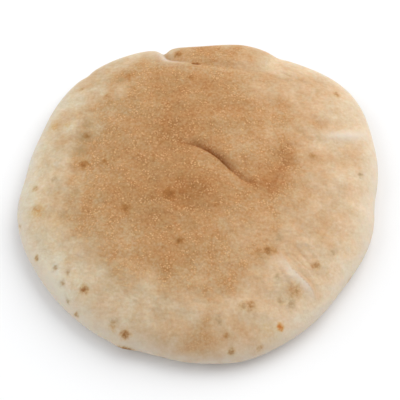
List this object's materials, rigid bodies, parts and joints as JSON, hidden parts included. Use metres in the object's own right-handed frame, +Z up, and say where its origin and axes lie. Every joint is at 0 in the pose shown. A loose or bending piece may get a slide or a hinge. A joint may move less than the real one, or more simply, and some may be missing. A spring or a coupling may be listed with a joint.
{
  "type": "pita bread",
  "caption": "Round flat pita bread, a low puffed loaf with a browned top, a pale rounded rim, folds in the top skin and a flat underside.",
  "frame": {"origin": "middle of the footprint's box, on the surface that the loaf lies on", "axes": "+Z up through the loaf's thickness; +Y towards the edge with the tuck and the nick, +X to the right of it"},
  "size_m": [0.1814, 0.1816, 0.026],
  "materials": {
    "crust": null
  },
  "bodies": {
    "root": {"pita_loaf": "crust"}
  },
  "joints": []
}
